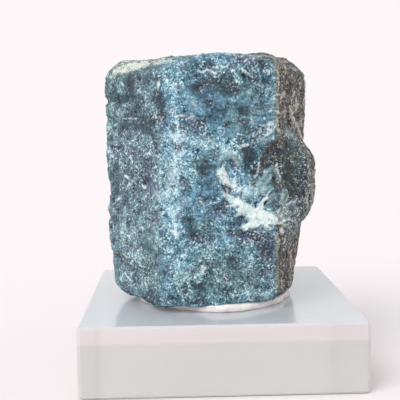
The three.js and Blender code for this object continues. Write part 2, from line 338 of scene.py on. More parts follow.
# What the surface shows, each as strokes of (across, down, half width) in the photo's pixels.
# A stroke is laid on the crystal where the camera's ray meets it.
marks = {
    # white crust: the vein, the patch above it, flake rims and small streaks
    "white": [
        [(221.5, 192.3, .8), (228, 197, 3), (236, 203, 5), (244, 209, 6), (251, 214, 7), (260.5, 216.5, 8),
         (269.6, 219, 6), (278, 222, 2.6), (282, 223.5, 1)],
        [(244.5, 227, 3), (251, 225, 3.4), (258, 224, 3)], [(231, 205, 2.6), (227, 207, 1)],
        [(240, 213, 2.4), (236, 216, .8)], [(262, 208, 3), (263, 204, 1)], [(266, 225, 2.4), (271, 228, 1)],
        [(223.5, 166, 1.6), (221.5, 173, 5.2), (224.5, 179, 4.6), (228.7, 184, 1.6), (235, 187, .8)],
    ],
    # thin pale lines and small streaks of the same crust
    "thread": [
        [(234.2, 180, 1.1), (235.3, 186, 1.2), (234.5, 191, .8)],
        [(288, 204, 1), (292, 200, .7)], [(283, 221, 1.4), (289, 219, 1), (293, 221, .8)],
        [(241, 146.3, 1), (244.5, 145.5, 1.8), (248, 144.8, 1)],
        [(267, 124.6, .5), (270, 122.3, .9), (273.5, 122.3, .5)], [(275.6, 126, .7), (274.5, 128.5, .4)],
        [(269.5, 123.5, .5), (269, 126.5, .9), (267.3, 130, .5)], [(272, 125, .5), (271, 129, .6)],
        [(248, 136.8, .6), (253, 137, .7), (256.3, 134.6, .6), (258, 130.5, .6), (260.8, 128, .6)],
        [(264.6, 136.2, .7), (268.5, 133.5, .7), (272.3, 130.8, .6), (275.5, 127.5, .5)],
        [(258.8, 162.4, .7), (258.6, 168, .8), (257.5, 174, 1), (254.7, 177.6, .9)],
        [(251.5, 166, 1), (253, 168.5, .7)],
        [(276.5, 166, 1), (277.5, 163.5, .7)],
        [(277, 168.5, .4), (281, 179, .35), (285.5, 188, .5), (287.5, 196, .4), (285, 204, .35)],
        [(268, 172, .3), (264, 177, .4), (260, 184, .35)],[(266, 198, 1.6), (262, 202, 1.4)],
        [(270, 191, .8), (267, 195, 1)], [(240, 189, 1.2), (236, 193, 1)], [(252, 186, .8), (256, 190, .7)],
        [(281.2, 230, 2.4), (284, 232.5, 1.4)],
        [(284.5, 239.5, 1.6), (283, 243.5, 1)],
        [(174.4, 116.6, .7), (180, 115.8, .7), (187, 116, .6)],
        [(190.5, 116.3, .6), (194.7, 116.3, .6)],
        [(152, 117.4, .8), (162.5, 117.4, .8)],
        [(119.6, 118.8, .5), (126, 118.2, .5), (135.8, 118.8, .5)],
        [(197.5, 70.3, .7), (201.6, 73, 1), (206.6, 69.3, 1), (210, 70, .8), (215, 74, 1.1), (216.5, 72.2, .7)],
        [(242, 68.3, 1), (243.7, 71, 1.6), (247.5, 73, 1.2), (251, 74.5, .6)],
        [(264, 70.5, .8), (267, 69.8, .9), (269.5, 71.5, .8), (268, 74.5, .7)],
        [(232.6, 70.4, 1.3)], [(222.3, 67.4, 1.2)], [(218.6, 80.7, .9)],
        [(158.9, 84.5, 1.5), (157.5, 89.5, 1)],
        [(183.5, 188, 1.4)],
        [(173, 231, 1), (176, 233.5, 1.6)], [(175, 230, .8), (178, 235, .7)],
        [(182.3, 256, 1.6)],
        [(202.5, 266.5, .8), (205.5, 268, .8), (201.5, 271.5, .9), (202.5, 266.5, .8)],
        [(196.5, 244, 1.2)],
        [(121.8, 254, .7), (125.5, 257, .7), (128.5, 257.5, .9), (129.5, 255.5, .8)],
        [(131.5, 256, 1.1)], [(139.5, 247.5, .8), (140, 250, .8)],
        [(130.8, 262.5, .9), (131.8, 265.5, .7)],
        [(139.8, 262.5, .8), (140.8, 265.5, .9), (143.5, 267.5, .7)],
        [(125.3, 273.5, 1), (128.5, 278, 1), (130.5, 280, .6)],
        [(124, 176, 1.6), (127.5, 178, 1.4)], [(128.5, 184.5, 2), (126, 186, 1.2)],
        [(142, 185.5, 1.4), (144.5, 187.5, 1.5)],
        [(130, 156.3, 1), (132.3, 162.6, 1)], [(136.5, 166, .9), (138.6, 170.3, .8)],
        [(148.4, 69, 1.2)],
    ],
    # pale blue bloom, thin and milky
    "pale": [
        [(173, 167, 5), (174, 176, 5.5), (173, 183, 4)], [(171.5, 230, 3), (175.5, 233.5, 4)], [(262, 141, 3.4)],
        [(166, 182, 1.8), (168, 190, 1.6), (167, 197, 1.8)],
        [(172, 140, 4), (178, 136, 3.5), (183, 137, 2)], [(176, 156, 4)],
        [(198, 144, 3), (212, 142, 2.5)],
        [(228, 150, 2), (231, 155, 2.5), (237, 161, 2.5)],
        [(170, 83, 2), (176, 85, 1.8)], [(122, 138, 2)],
        [(243, 193, 4), (249, 190, 5), (246, 197, 3)],
        [(270, 213, 3), (281, 212, 2.5)], [(288, 205, 2), (294, 203, 1.5)], [(302, 160, 2.5)],
        [(283, 219, 2.4), (290, 217, 2)], [(296, 208, 1.6)],
        [(288, 130, 3.4), (292, 134, 3.8)], [(176, 265.5, 2.6)],
        [(203.5, 203, 1), (205, 207, 1.3)], [(157, 192, 1.8), (161, 197, 2.2)],
        [(154.5, 231, 1.6), (152, 236, 1)], [(182.8, 201, 4)], [(194, 103, 4)],
        [(243, 196, 3)], [(262, 189, 2)], [(172, 210, 2.5), (175, 216, 2)], [(178, 148, 2)],
        [(187, 276, 2), (192, 274, 1)], [(263, 294, 2), (252, 292, 1.5)],
    ],
    # smooth dark teal patches, where the light sinks in
    "glassy": [
        [(189, 86, 3.5), (196, 88, 4.5), (205, 84, 4.5)], [(198, 64.5, 1.8), (204, 64, 2.6), (208, 65, 2)],
        [(249, 80, 3.5), (253, 82, 2.5)], [(250, 66, 2), (258, 63.5, 3.5), (266, 64.5, 3.3)],
        [(265, 80, 3.5), (268, 86, 3.5)], [(252, 97, 2.6), (258, 98, 2.6)],
        [(246, 127, 4), (250, 131, 2.6)], [(262, 129, 2)],
        [(246, 150, 5.5), (249, 160, 7.5), (256, 157, 4), (252, 149, 4)], [(247, 168, 4), (255, 171, 3.4)],
        [(234, 216.5, 1.4), (239, 217, 2.8), (244, 218.5, 3), (248, 220.3, 1.3)],
        [(198, 170, 4), (206, 171, 5), (211, 168, 3.5)], [(234, 165, 2.6), (237, 169, 2.2)],
        [(269.6, 175.7, 2)], [(273, 186, 1.8), (276, 188, 1.3)], [(262, 195, 2.4)],
        [(277, 194, 4), (276, 203, 5), (271, 206, 3)], [(187, 219, 5)], [(290, 143, 5), (296, 148, 4)],
        [(190, 233, 3.5), (195, 237, 3)], [(193, 285, 3.5), (199, 287, 3.5), (203, 290, 2.6)],
        [(143, 246, 3.5), (150, 247, 4)], [(169, 295.5, 2.6)], [(179, 300, 3)],
        [(125, 201, 2.2), (121, 206, 2.8)], [(130, 80, 5), (130, 87, 4)],
        [(159.5, 96, 3), (159.5, 103, 4), (160, 109, 3)], [(141, 116, 3.5), (145, 122, 4), (138, 128, 3.5)],
        [(122, 125, 3), (127, 129, 3.5)], [(124, 158, 3), (127, 168, 4), (131, 172, 3)],
        [(141, 177, 2.6), (145, 182, 3)], [(157, 214, 2.6), (153, 219, 3), (147, 221, 2)],
        [(108.3, 160, 1.6), (108.3, 168, 2)], [(111.8, 192.5, 1.4)], [(116, 264.5, 1.4)],
        [(110, 98, 2.6)], [(123, 98, 3), (128, 96, 2.6)], [(241, 245, 4), (236, 246, 3)],
        [(232, 162, 3)], [(256, 106, 4), (263, 107, 4)], [(232, 260, 4), (239, 262, 2.5)],
        [(216, 149, 4)], [(244, 112, 5)], [(228, 296, 3), (236, 297, 2.5)],
    ],
    # clusters of small purplish pits
    "pit": [
        [(158, 117, 2.6), (164, 117.5, 3)], [(172.5, 127.5, 3.4)], [(196, 125, 4), (202, 125, 4)],
        [(210, 62, 2), (213, 65.5, 2.6)], [(240, 59.5, 2.6), (244, 57.5, 2)], [(257, 57, 3)],
        [(231, 84, 2.4), (234, 86.5, 1.6)], [(206, 102.5, 1.8), (211, 102, 2.6), (209, 105, 1.8)],
        [(224, 203, 2.3), (225.5, 206, 2.5), (220, 208.5, 2.6), (217, 212, 1.8)],
        [(224, 186, 1.6), (227.5, 191.5, 1.4)], [(230, 233, 2.6), (233.5, 235, 3.5)],
        [(250, 234.5, 3), (256, 236, 3.6), (262, 237, 2.6)], [(198, 266, 2), (198.3, 270.5, 1.8)],
        [(207.5, 262.5, 2.5)], [(226, 279, 3.4)], [(264, 249, 4)], [(270, 259, 3.4)], [(151, 296, 2.8)],
        [(185, 291.5, 2.4)], [(194, 244, 1.6), (200, 240, 2.2), (206, 243, 2.2)], [(126, 110, 3), (128, 114, 2.2)],
        [(130, 189, 2.4), (133.5, 194, 3)], [(141, 178, 2), (145, 183, 2)], [(131, 268, 3)],
        [(279, 221, 1.6)], [(293.5, 218.5, 1.8)], [(148.4, 68.6, 3.4)], [(159, 219, 2.2), (152, 222, 1.8)],
        [(229, 193, 2), (224, 211, 1.6)], [(262, 275, 3)], [(130, 103, 1.6), (126, 118, 1.4)],
        [(166, 124, 1.6)], [(187, 299, 2)], [(302, 190, 3), (304, 178, 3)], [(299, 200, 3)], [(306, 187, 2)],
    ],
    # small deep holes, painted near black inside as painted shade
    "hole": [
        [(198, 150, 1.3)], [(226.5, 143.5, .6), (228.5, 142.5, .5)], [(174, 59, 1), (176.5, 58.5, 1)],
        [(157, 60, .7), (160.5, 59.2, .7)], [(256.3, 207.5, .8), (254.8, 203.5, .8), (257.5, 202, .6)],
        [(266.5, 201.3, 1), (265, 205, .6)], [(237.8, 207.2, .6)], [(243.5, 75.8, .7)], [(167, 124.8, .9)],
        [(143, 183.5, .8), (145.5, 186, .7)], [(289.5, 121, 1.4), (291, 126, 1.2)], [(286.8, 72.6, .9)],
        [(194.5, 244.5, .8)], [(143, 268.5, 1)], [(271, 127.5, .9)], [(203.3, 268.6, .7)],
    ],
    # broken plates of stone beside the hollow, pale along their rims
    "plate": [
        [(258, 192, 3), (262, 184, 5), (266, 178, 4.6), (272, 171, 3.4)], [(266, 192, 3), (270, 188, 2.4)],
        [(276, 170, 2.2), (279, 178, 2.6)], [(284, 193, 3.4), (283, 201, 3)], [(274, 196, 2.4), (268, 200, 2.6)],
        [(230, 153, 2.4), (236, 157, 3.8), (240, 164, 2.6)],
        [(249, 180, 1.6), (251, 187, 2)], [(222, 158, 2), (219, 163, 1.6)],
    ],
    # the cream worn bevel at the upper left
    "cream": [
        [(112, 76, 2.4), (116, 71.5, 4.6), (120, 70, 5.6), (126, 68.5, 7.2), (134, 67, 7.8), (142, 66, 6), (149, 64, 3.4)],
        [(153, 63, 2), (160, 62, 2.4), (169, 60, 1.8)],
    ],
    # grey worn edges with a painted highlight along them: the top rim and the bevel between the front and the right
    # side
    "worn": [
        [(112, 69, 2.6), (118, 65, 3), (128, 62, 3), (140, 60, 3), (150, 60, 3)],
        [(150, 61, 2.8), (165, 59.5, 2.8), (176, 57.5, 2.4), (190, 56, 2.2), (207, 54.5, 2.2), (240, 54, 2), (268, 53.5, 2.4), (274, 58, 3.4),
         (277, 70, 3.2), (277.5, 90, 2.8), (277, 110, 2.6), (276, 128, 2.2)],
        [(277, 240, 3), (279, 262, 3.4), (278, 284, 3)], [(281, 229, 3), (288, 224, 3)],
        [(299, 64, 3), (303, 74, 3), (304.5, 90, 2.4)],
    ],
    # tan stains and the pale line on the right side
    "tan": [
        [(289.5, 107.5, 1.2), (292, 114, 2), (294.5, 121, 2.4), (297.5, 128, 2.4), (300.5, 134.5, 2), (303.5, 140, 1)],
        [(295.8, 99, 2.4), (295.8, 103, 4.2), (295.5, 107, 2.4)], [(285, 66, 2), (285, 74, 1.6)],
        [(292, 250, 1.6), (291, 266, 2)],
    ],
    # dark blotches on the right side, which the camera sees foreshortened
    "streak": [
        [(290.5, 69, 3.4), (294, 73, 4.2), (297, 77, 3)], [(290.5, 86, 4.4), (290, 93, 4.6)],
        [(288, 116, 3), (289, 121, 4.4)], [(287, 143, 3.6), (283, 150, 3)], [(293, 62, 2.4), (298, 68, 2)],
        [(300.5, 92, 1.6), (301, 110, 2)], [(284, 96, 2), (284.5, 108, 1.8)], [(288, 250, 3), (287, 262, 3.6)],
        [(282, 272, 2.6), (281, 284, 2.2)], [(273, 174, 2.2), (274, 178, 1.6)], [(287, 60, 2)],
        [(288, 76, 3), (290, 81, 2)], [(296, 84, 2.4), (298, 89, 2)], [(287, 100, 2.4)], [(291, 101, 1.8)],
        [(283, 82, 1.8)], [(285, 127, 2.4)], [(297, 116, 1.8)], [(281, 244, 2.8), (279, 252, 2.4)],
        [(284, 256, 2.4)], [(290, 240, 2.4)], [(278, 270, 2)], [(286, 276, 2.4)],
        [(304, 168, 2)], [(301, 176, 2.2)], [(307, 180, 2)], [(303, 194, 2.4)], [(309, 196, 2)], [(300, 160, 1.6)],
    ],
    # the brownish streaked wall on the right of the hollow
    "bark": [
        [(279, 134, 3), (271, 146, 4.5), (264, 160, 4.5), (259, 171, 3.8), (255, 180, 1.6)],
        [(247, 152, 3), (245, 160, 2)],
    ],
}

# broad soft areas, laid on in the same way: lighter haze, darker patches that are partly painted shade, as in the
# hollow, and purplish and greenish zones
areas = {
    "haze": [
        [(172, 80, 3), (174, 105, 3), (177, 130, 7), (176, 150, 8), (175, 175, 8), (170, 192, 6)],
        [(172, 206, 5), (176, 232, 6)], [(182, 262, 4), (182, 285, 4)],
        [(214, 145, 4), (230, 150, 5), (233, 161, 4)], [(229, 182, 3), (243, 194, 8)], [(262, 213, 9)],
        [(284, 212, 6), (296, 205, 3)], [(288, 133, 4)], [(262, 140, 2.5), (272, 124, 3)],
        [(190, 142, 4), (205, 146, 3)], [(128, 182, 4)], [(150, 150, 4)], [(160, 192, 4), (167, 206, 4)],
        [(262, 190, 4)], [(198, 278, 4)], [(120, 232, 4)], [(140, 224, 3)],
    ],
    # darker patches of the stone, and painted shade in the hollow between the knob and the front
    "deep": [
        [(128, 84, 7), (133, 92, 6)], [(158, 88, 5), (158, 110, 6)], [(116, 104, 5)], [(140, 100, 7), (132, 112, 6)],
        [(123, 128, 6), (150, 124, 6)], [(200, 90, 6), (215, 84, 8), (232, 88, 6)], [(262, 62, 6), (268, 80, 5)],
        [(245, 75, 5)], [(218, 110, 5), (205, 122, 5)], [(240, 108, 4)], [(246, 150, 5), (250, 161, 6), (256, 171, 3)],
        [(108, 86, 4), (112, 96, 4)], [(146, 78, 4)],
        [(288, 70, 4), (290, 86, 5)], [(300, 100, 4)], [(280, 250, 4)], [(301, 176, 5), (303, 194, 5)],
        [(270, 150, 5), (264, 165, 4)], [(283, 158, 4), (287, 168, 8), (290, 180, 7), (290, 190, 6)], [(204, 168, 5)], [(115, 165, 5)],
        [(148, 180, 5)], [(188, 226, 4), (196, 234, 4)], [(240, 218, 5)], [(244, 236, 5), (268, 245, 7)],
        [(232, 260, 6)], [(280, 262, 4)], [(274, 186, 3)], [(195, 290, 4)], [(148, 268, 4)], [(128, 205, 3)],
        [(195, 64, 4), (207, 66, 4)],
    ],
    # smooth zones with hardly any flecks, and zones thick with them
    "calm": [
        [(187, 92, 7), (205, 95, 10), (222, 100, 9)], [(244, 104, 6), (258, 112, 8), (262, 100, 5)],
        [(232, 128, 6), (246, 124, 5)], [(140, 116, 5)], [(189, 128, 3)], [(216, 149, 4)],
        [(207, 162, 5), (211, 182, 5), (208, 194, 4)], [(178, 98, 3), (168, 100, 3)], [(194, 198, 5)],
        [(158, 192, 4), (150, 184, 4)], [(147, 238, 5), (158, 256, 6), (160, 272, 5)], [(224, 240, 5)],
        [(286, 168, 5), (289, 184, 4)], [(276, 200, 5)], [(158, 92, 4), (160, 104, 4)], [(242, 218, 4)],
        [(198, 218, 4), (192, 224, 4)], [(292, 143, 5)], [(112, 210, 4)], [(129, 84, 5)], [(206, 286, 4)],
        [(262, 186, 7), (271, 176, 6)], [(280, 198, 6), (268, 202, 4)], [(302, 72, 5), (303, 90, 4)],
        [(200, 108, 8), (222, 116, 8), (250, 100, 8)],
    ],
    "busy": [
        [(265, 128, 5), (250, 140, 5), (238, 146, 3)], [(291, 120, 4), (298, 132, 4)], [(226, 186, 4), (228, 205, 5)],
        [(205, 70, 6), (213, 72, 5)], [(243, 62, 5), (256, 66, 5), (268, 70, 6)], [(147, 67, 4)],
        [(156, 116, 5), (164, 120, 4)], [(118, 150, 6), (130, 170, 8), (140, 186, 6)], [(176, 170, 4), (177, 182, 4)],
        [(281, 230, 5), (281, 250, 5)], [(262, 232, 6), (250, 240, 5)], [(262, 262, 6), (285, 285, 7)],
        [(230, 296, 5), (262, 292, 6)], [(204, 268, 5)], [(196, 246, 5)], [(136, 262, 5), (128, 258, 4)],
        [(306, 160, 5), (308, 185, 6), (302, 205, 5)], [(292, 222, 4)], [(262, 156, 4), (256, 170, 4)],
        [(194, 150, 4)], [(190, 290, 5)], [(155, 152, 5)],
    ],
    "mauve": [
        [(195, 125, 8)], [(148, 160, 9), (150, 186, 9)], [(219, 208, 6)], [(243, 234, 7), (268, 240, 7)],
        [(262, 62, 6), (240, 60, 6)], [(268, 252, 7), (268, 275, 5)], [(115, 152, 6)], [(262, 132, 6)],
        [(232, 86, 4)], [(226, 189, 4)],
    ],
    "green": [
        [(128, 78, 8), (110, 92, 6), (115, 130, 6)], [(220, 82, 9), (250, 90, 6)], [(238, 120, 8), (262, 108, 6)],
        [(150, 245, 11), (150, 275, 12)], [(185, 282, 10), (215, 285, 11), (250, 285, 9)], [(232, 258, 8)],
        [(115, 205, 5)], [(125, 235, 8)], [(205, 225, 6)], [(205, 262, 8), (232, 274, 10), (256, 272, 7)],
        [(185, 60, 5)], [(204, 166, 5)], [(286, 165, 8), (290, 190, 8)], [(262, 186, 7), (272, 176, 6), (272, 200, 7)],
    ],
}

tree3d = BVHTree.FromBMesh(stone)
toStone = stand.inverted() @ cameraPlace
pixel = view["sensor"] / view["lens"] / view["pictureWidth"]


def placeStroke(stroke):
    placed = []
    for across, down, halfWidth in stroke:
        aim = Vector(((across - view["pictureWidth"] / 2) * pixel, (view["pictureWidth"] / 2 - down) * pixel, -1))
        ray = (toStone.to_3x3() @ aim).normalized()
        spot, _, _, away = tree3d.ray_cast(eye, ray)
        if spot:
            placed.append((np.array(spot), halfWidth * pixel * away))
    return placed


points = np.array([vert.co for vert in stone.verts])
normals = np.array([vert.normal for vert in stone.verts])
seen = ((np.array(eye) - points) * normals).sum(axis=1) > 0


def strokeDistance(stroke, field):
    # distance in mm from each point to the stroke's edge, less than zero inside it
    ends = stroke[1:] if len(stroke) > 1 else stroke
    for (start, startWidth), (end, endWidth) in zip(stroke, ends):
        run = end - start
        along = np.clip((points - start) @ run / max(run @ run, 1e-9), 0, 1)
        away = np.linalg.norm(points - start - along[:, None] * run, axis=1)
        np.minimum(field, away - startWidth - along * (endWidth - startWidth), out=field)


# the unseen sides get marks of the same kinds, scattered from a fixed seed:
# how many, the least and largest half width and how long they run, in mm
scatter = {
    "white": (12, 0.2, 0.8, 1.6), "thread": (110, 0.08, 0.3, 0.9), "cream": (5, 0.3, 0.8, 2.0),
    "worn": (14, 0.2, 0.5, 2.5), "pale": (60, 0.3, 1.0, 0.8), "glassy": (110, 0.3, 1.0, 0.8),
    "pit": (90, 0.3, 0.8, 0.6), "hole": (40, 0.1, 0.3, 0.2), "plate": (12, 0.5, 1.2, 2.0),
    "haze": (26, 0.5, 1.8, 3.0), "deep": (34, 0.5, 1.8, 2.0), "mauve": (14, 1.0, 2.2, 3.0),
    "green": (16, 1.0, 2.4, 3.0), "calm": (30, 0.5, 1.6, 2.5), "busy": (30, 0.5, 1.4, 2.0),
}
rng = np.random.default_rng(11)
hidden = points[~seen]
fields = {}
for kind, strokes in {**marks, **areas}.items():
    field = np.full(len(points), 4.0)
    for stroke in strokes:
        placed = placeStroke(stroke)
        if placed:
            strokeDistance(placed, field)
    count, small, large, length = scatter.get(kind, (0, 0, 0, 0))
    for start in hidden[rng.integers(0, len(hidden), count)]:
        end = start + rng.normal(0, length, 3)
        strokeDistance([(start, rng.uniform(small, large)), (end, rng.uniform(small, large))], field)
    fields[kind] = field

# short curled pale lines all over the sides that the photo shows
curls = {"count": 130, "run": 0.42, "thin": 0.03, "thick": 0.13}
curlRng = np.random.default_rng(23)
shownPoints = points[seen]
for start in shownPoints[curlRng.integers(0, len(shownPoints), curls["count"])]:
    bend = start + curlRng.normal(0, curls["run"], 3)
    end = bend + curlRng.normal(0, curls["run"], 3)
    width = curlRng.uniform(curls["thin"], curls["thick"])
    strokeDistance([(start, width), (bend, width), (end, width)], fields["thread"])
print("marks placed")


def noiseField(size, shift=0.0, stretch=(1, 1, 1)):
    spots = points / (size * np.array(stretch)) + shift
    return np.array([noise.noise(spot) for spot in spots.tolist()])


def chipField(size, shift, bend):
    # flat chips of random height and lean, and how far each point is from a chip's edge
    spots = points / size + shift
    heights, borders = [], []
    for spot in spots.tolist():
        bent = Vector(spot) + noise.noise_vector(Vector(spot) * 1.7) * bend
        spread, middles = noise.voronoi(bent)
        middle = middles[0]
        lean = noise.cell_vector(middle * 7.3) - Vector((0.5, 0.5, 0.5))
        heights.append(0.6 * noise.cell(middle * 5.1) + 1.3 * lean.dot(bent - middle))
        borders.append(spread[1] - spread[0])
    return np.array(heights), np.array(borders)


# sides of the crystal: the worn brown right side, the greener left side and the knob
out = {azimuth: points @ np.array(outward(azimuth)) for azimuth in (0, 60, -60, 90, -90)}
knobSpace = np.array(ellipsoidMatrix(crystal["knob"]).inverted())
knobReach = np.linalg.norm(points @ knobSpace[:3, :3].T + knobSpace[:3, 3], axis=1)
height = points[:, 2]
edgeNoise = noiseField(1.6)
backNoise = noiseField(5.0, 18.0)
onTop = smoothstep(0.5, 0.9, normals[:, 2])
brown = smoothstep(-0.9, 0.3, out[60] - out[0] + 0.8 * edgeNoise + 7.0 * onTop * backNoise)
brown = brown * (1 - 0.7 * smoothstep(0.0, 7.0, points[:, 1] + 14.0 * backNoise))
left = smoothstep(-0.5, 3.5, out[-60] - out[0] + 1.2 * edgeNoise)
facingRight = normals @ np.array(outward(80))
knob = smoothstep(1.06, 0.99, knobReach + 0.03 * edgeNoise) * smoothstep(9.5, 11, points[:, 0] + edgeNoise)
knob = knob * smoothstep(33.5, 31.5, height + edgeNoise)
knob = knob * (0.5 + 0.5 * smoothstep(0.95, 0.6, facingRight + 0.15 * edgeNoise))

chips, chipBorder = chipField(2.3, 3.7, 0.35)
fineChips, fineBorder = chipField(0.85, 9.1, 0.3)
striped = noiseField(0.9, 4.0, (1, 1, 9)) * 0.6 + noiseField(0.4, 8.0, (1, 1, 7)) * 0.4
grain = noiseField(0.5, 2.0)

relief = 0.15 * chips * (1 - 0.3 * brown) + 0.12 * fineChips + 0.06 * grain + 0.07 * striped * brown
raise_ = 0.30 * noiseField(11, 1.0) + 0.16 * noiseField(4.5, 5.0)

# besides the marked ones there are small glassy cells and pits all over
fields["glassy"] = np.minimum(fields["glassy"], 2.0 * (0.42 - noiseField(2.0, 33.0)))
fields["pit"] = np.minimum(fields["pit"], 1.3 * (0.52 - noiseField(1.5, 21.0)))

markRelief = {
    "pit": (-0.35, 0.45), "hole": (-0.8, 0.2), "white": (0.22, 0.2), "thread": (0.15, 0.15), "glassy": (-0.10, 0.5),
    "streak": (-0.2, 0.3), "tan": (0.1, 0.2), "cream": (0.05, 0.4), "plate": (0.4, 0.25),
}
ragged = 0.35 * noiseField(0.7, 6.0)
for kind, (lift, softness) in markRelief.items():
    relief = relief + lift * smoothstep(softness, -softness, fields[kind] + ragged)

# partings: notches and steps across the left outline, each a height, a depth and a half thickness
partings = [(37.5, 0.5, 0.6), (33.8, 0.4, 0.45), (28.6, 0.2, 0.4), (21.3, 0.3, 2.2), (14.6, 0.3, 0.5), (7.4, 0.25, 0.5)]
atLeft = smoothstep(13.5, 18.5, out[-90])
for level, depth, half in partings:
    band = smoothstep(half + 0.35, half - 0.15, np.abs(height - level + 0.5 * edgeNoise))
    relief = relief - depth * band * atLeft
crack = smoothstep(0.28, 0.0, np.abs(height - 34.25 - 0.12 * noiseField(2.5, 7.0))) * smoothstep(0.15, -0.3, noiseField(6.0, 12.0))
relief = relief - 0.3 * crack

moved = points + normals * (relief + raise_)[:, None]
for vert, spot in zip(stone.verts, moved.tolist()):
    vert.co = spot

# how light or dark the stone is there, and how purplish or greenish
drift = 1.1 * noiseField(2.2, 15.0)
# the relief paints low places such as pits, holes, cracks and partings darker, as painted shade, and raised chips
# paler, as worn ridges
shade = 0.6 * relief + 0.28 * smoothstep(1.4, -1.0, fields["haze"] + drift)
# the dark patches darken the tone, and in the hollow this is painted shade
shade = shade - 0.42 * smoothstep(1.4, -1.0, fields["deep"] + drift) - 0.08 * knob
mauve = 0.7 * smoothstep(1.5, -1.0, fields["mauve"] + drift)
green = 0.75 * smoothstep(1.8, -1.0, fields["green"] - drift)
calm = smoothstep(1.2, -0.8, fields["calm"] + drift)
busy = smoothstep(1.2, -0.8, fields["busy"] - drift)
flecked = 0.9 - 0.6 * calm + 0.5 * busy
# the flecks, partly painted glints, are stronger on the right side, which the camera sees along, and weaker on the
# unseen sides
lookedAt = ((np.array(eye) - points) * normals).sum(axis=1) / np.linalg.norm(np.array(eye) - points, axis=1)
speckled = np.maximum(brown, knob * smoothstep(0.3, 0.7, facingRight))
flecked = flecked * (0.65 + 0.35 * smoothstep(-0.3, 0.0, lookedAt))
flecked = flecked + 0.35 * speckled * smoothstep(-0.1, 0.1, lookedAt)
print("crystal surface worked")

# rough natural corundum: a hard, dull, glinting surface, milky blue over dark glassy depths
corundum, tree = newMaterial("roughCorundum")
place = addNode(tree, "ShaderNodeTexCoord").outputs["Object"]
# soft clouds of tone: how much they are squeezed in height, then for each a feature size in mm,
# how much detail rides on it and how strongly it counts
shadeHere = addNode(tree, "ShaderNodeAttribute", {"attribute_name": "shade"}).outputs["Fac"]
clouds = {
    "even": (1.0, [(6, 2, 0.5), (2.2, 3, 0.8), (1.0, 2, 0.8), (0.5, 2, 0.8), (0.25, 1, 1.0)]),
    "squeezed": (1.5, [(6, 2, 1.0), (3.2, 3, 2.0), (1.4, 2, 1.8), (0.6, 1, 1.4)]),
}
tones = {}
for name, (squeeze, sizes) in clouds.items():
    where = addNode(tree, "ShaderNodeMapping", {"Scale": (1, 1, squeeze)}, {"Vector": place}).outputs["Vector"]
    tone = shadeHere
    for size, detail, weight in sizes:
        cloud = addNode(tree, "ShaderNodeTexNoise", {
            "Scale": perMm / size, "Detail": detail, "Roughness": 0.6, "Distortion": 0.3,
        }, {"Vector": where})
        # centred on zero, so that every size only adds contrast
        level = addNode(tree, "ShaderNodeMath", {"operation": "SUBTRACT", 1: 0.5}, {0: cloud.outputs["Fac"]})
        tone = addNode(tree, "ShaderNodeMath", {"operation": "MULTIPLY_ADD", 1: weight}, {
            0: level.outputs["Value"], 2: tone,
        }).outputs["Value"]
    tones[name] = tone

# finer figures that come and go in patches: frosty flecks, which are partly painted glints, lacy pale lines and dark
# specks.
# Each has a size, a fold that turns it into lines, the levels where it starts and is full,
# then a patch size with its levels, and how much lighter or darker it makes the tone.
figures = [
    (0.28, False, 0.55, 0.63, 2.6, 0.50, 0.62, 0.48),
    (0.55, False, 0.58, 0.66, 4.2, 0.48, 0.60, 0.45),
    (2.10, True, 0.468, 0.495, 5.0, 0.42, 0.54, 0.40),
    (1.10, True, 0.468, 0.495, 2.9, 0.44, 0.55, 0.58),
    (0.60, True, 0.46, 0.49, 1.9, 0.49, 0.59, 0.66),
    (0.32, False, 0.45, 0.38, 2.2, 0.47, 0.57, -0.70),
    (1.30, False, 0.42, 0.34, 3.6, 0.42, 0.54, -0.30),
]
figure = None
for size, folded, low, high, patchSize, patchLow, patchHigh, weight in figures:
    shifted = addNode(tree, "ShaderNodeMapping", {"Location": (size * 0.013, patchSize * 0.011, size * 0.017)}, {
        "Vector": place,
    }).outputs["Vector"]
    levels = []
    for width, start, full, bend in ((size, low, high, 0.8), (patchSize, patchLow, patchHigh, 0)):
        level = addNode(tree, "ShaderNodeTexNoise", {
            "Scale": perMm / width, "Detail": 2, "Roughness": 0.55, "Distortion": bend,
        }, {"Vector": shifted}).outputs["Fac"]
        if folded and width == size:
            level = addNode(tree, "ShaderNodeMath", {"operation": "PINGPONG", 1: 0.5}, {0: level}).outputs["Value"]
        levels.append(addNode(tree, "ShaderNodeMapRange", {"From Min": start, "From Max": full}, {
            "Value": level,
        }).outputs["Result"])
    both = addNode(tree, "ShaderNodeMath", {"operation": "MULTIPLY"}, {0: levels[0], 1: levels[1]}).outputs["Value"]
    weighed = addNode(tree, "ShaderNodeMath", {"operation": "MULTIPLY", 1: weight}, {0: both}).outputs["Value"]
    if figure is None:
        figure = weighed
    else:
        figure = addNode(tree, "ShaderNodeMath", {"operation": "ADD"}, {0: figure, 1: weighed}).outputs["Value"]
# crystalline grains, each with its own tone
grains = addNode(tree, "ShaderNodeTexVoronoi", {"Scale": perMm / 0.27}, {"Vector": place})
grainTone = addNode(tree, "ShaderNodeSeparateColor", None, {"Color": grains.outputs["Color"]}).outputs["Red"]
# most grains lie close to the middle, and a few are crisp bright or dark specks; the bright specks are partly painted
# glints
speck = addNode(tree, "ShaderNodeFloatCurve", None, {"Value": grainTone})
for at, height in ((0.05, 0.08), (0.10, 0.42), (0.88, 0.56), (0.93, 1.0)):
    speck.mapping.curves[0].points.new(at, height)
speck.mapping.curves[0].points[-1].location = (1.0, 1.0)
speck.mapping.update()
grainLevel = addNode(tree, "ShaderNodeMath", {"operation": "SUBTRACT", 1: 0.5}, {0: speck.outputs["Value"]})
grainFigure = addNode(tree, "ShaderNodeMath", {"operation": "MULTIPLY_ADD", 1: 0.92}, {
    0: grainLevel.outputs["Value"], 2: figure,
})
# how strongly the frosty flecks and painted glints show here
flecksAndGlintsHere = addNode(tree, "ShaderNodeAttribute", {"attribute_name": "flecked"}).outputs["Fac"]
